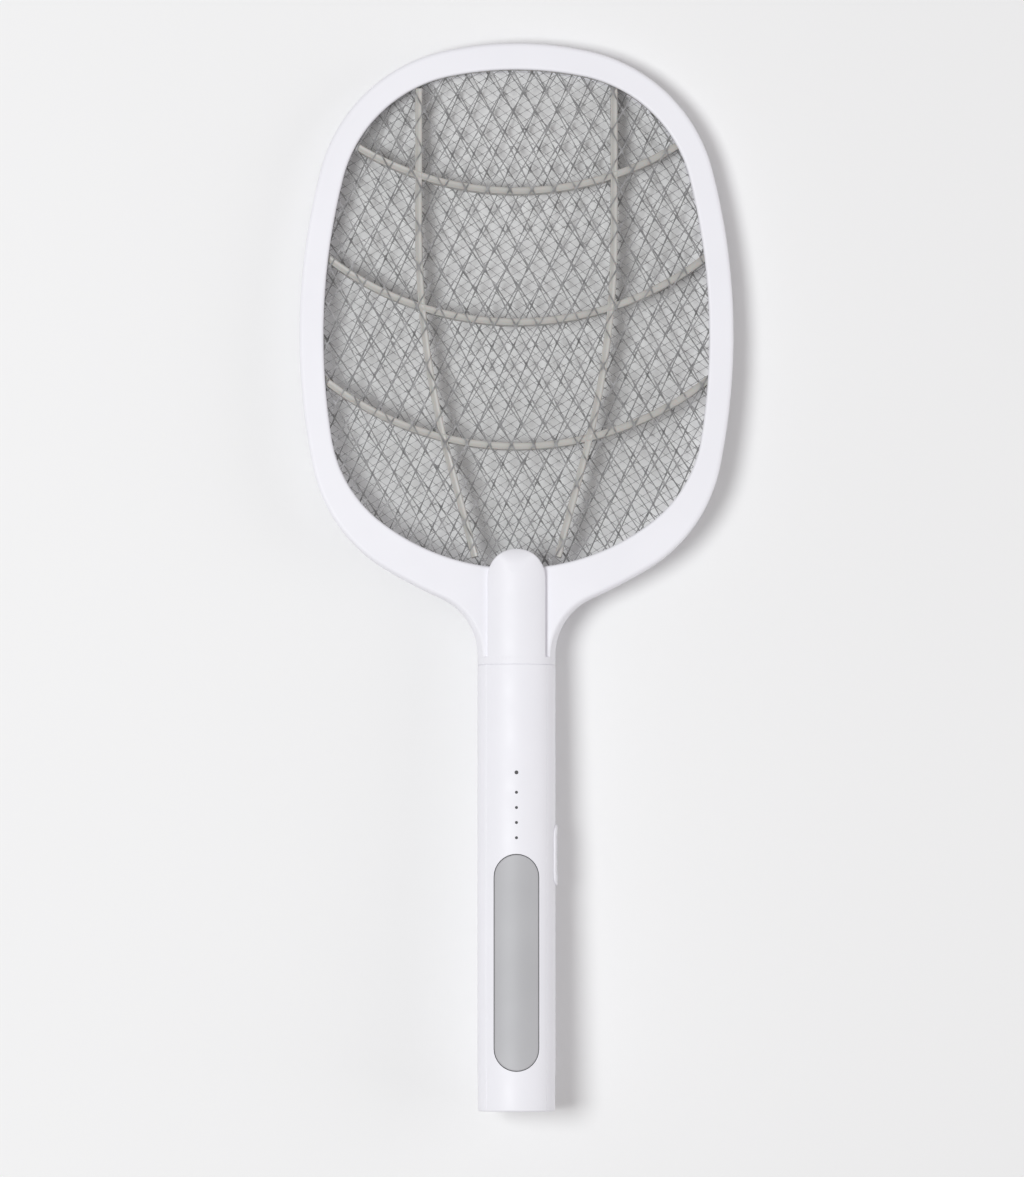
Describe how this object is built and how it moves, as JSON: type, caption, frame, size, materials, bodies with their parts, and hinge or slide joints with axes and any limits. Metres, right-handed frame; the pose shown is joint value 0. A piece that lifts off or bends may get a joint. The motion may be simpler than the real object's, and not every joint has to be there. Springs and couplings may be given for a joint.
{
  "type": "electric fly swatter",
  "caption": "Oval racket head with three layers of wire mesh on a round handle with a long trigger bar, indicator dots and a sliding side switch.",
  "frame": {"origin": "under the middle of the whole object, on the plane that the handle's back touches", "axes": "+Y along the handle towards the head's tip, +Z out of the front face, +X to the right when the front face is seen with the head up"},
  "size_m": [0.1952, 0.48, 0.035],
  "materials": {
    "white_shell": "fine satin moulded white ABS",
    "mesh_metal": "bare expanded aluminium, satin",
    "spacer_plastic": "translucent greige moulded plastic",
    "trigger_grey": "satin silver-grey plastic",
    "knob_plastic": "satin light grey plastic",
    "smoked_plastic": "clear smoked plastic",
    "screw_steel": "zinc plated steel",
    "contact_brass": "stamped spring brass",
    "red_insulation": "silicone insulation",
    "black_insulation": "silicone insulation",
    "cell_wrap": "shrink wrap",
    "nickel_strip": "nickel plated strip",
    "foam_pad": "closed cell foam",
    "board_green": "solder mask on glass fibre",
    "ferrite": "ground ferrite",
    "winding_copper": "enamelled copper wire under tape",
    "capacitor_brown": "dipped film capacitor",
    "resistor_beige": "lacquered resistor",
    "black_plastic": "moulded black plastic",
    "led_white": "ceramic LED package",
    "socket_steel": "stamped steel shell",
    "plunger_plastic": "moulded plastic",
    "spring_steel": "music wire"
  },
  "bodies": {
    "racket": {"front_frame": "white_shell", "rear_frame": "white_shell", "frame_screws": "screw_steel", "front_mesh": "mesh_metal", "middle_mesh": "mesh_metal", "rear_mesh": "mesh_metal", "front_spacer": "spacer_plastic", "rear_spacer": "spacer_plastic", "outer_mesh_contact": "contact_brass", "middle_mesh_contact": "contact_brass", "high_voltage_lead": "red_insulation", "return_lead": "black_insulation", "handle_front_shell": "white_shell", "handle_rear_shell": "white_shell", "end_cap": "white_shell", "handle_screws": "screw_steel", "neck_screw": "screw_steel", "battery_cell": "cell_wrap", "battery_positive_tab": "nickel_strip", "battery_negative_tab": "nickel_strip", "battery_pad": "foam_pad", "circuit_board": "board_green", "transformer_core": "ferrite", "transformer_bobbin": "black_plastic", "transformer_winding": "winding_copper", "storage_capacitor": "capacitor_brown", "rectifier_diodes": "black_plastic", "bleed_resistors": "resistor_beige", "drive_transistor": "black_plastic", "charging_chip": "black_plastic", "controller_chip": "black_plastic", "indicator_leds": "led_white", "light_pipes": "smoked_plastic", "charging_socket": "socket_steel", "charging_socket_tongue": "black_plastic", "push_switch": "black_plastic", "trigger_springs": "spring_steel", "slide_switch": "socket_steel", "switch_bezel": "white_shell"},
    "trigger": {"trigger_bar": "trigger_grey"},
    "plunger": {"switch_plunger": "plunger_plastic"},
    "power_slider": {"switch_knob": "knob_plastic", "switch_lever": "black_plastic"}
  },
  "joints": [
    {"name": "trigger_press", "type": "slide", "parent": "racket", "child": "trigger", "axis": [0, 0, -1], "range_m": [0, 0.001], "stiffness_N_per_m": 1500, "springref_m": -0.001, "deforming": ["trigger_springs"]},
    {"name": "plunger_press", "type": "slide", "parent": "racket", "child": "plunger", "axis": [0, 0, -1], "range_m": [0, 0.001]},
    {"name": "power_slide", "type": "slide", "parent": "racket", "child": "power_slider", "axis": [0, 1, 0], "range_m": [0, 0.002]}
  ],
  "couplings": [
    {"joint": "plunger_press", "follows": "trigger_press", "ratio": 1}
  ]
}
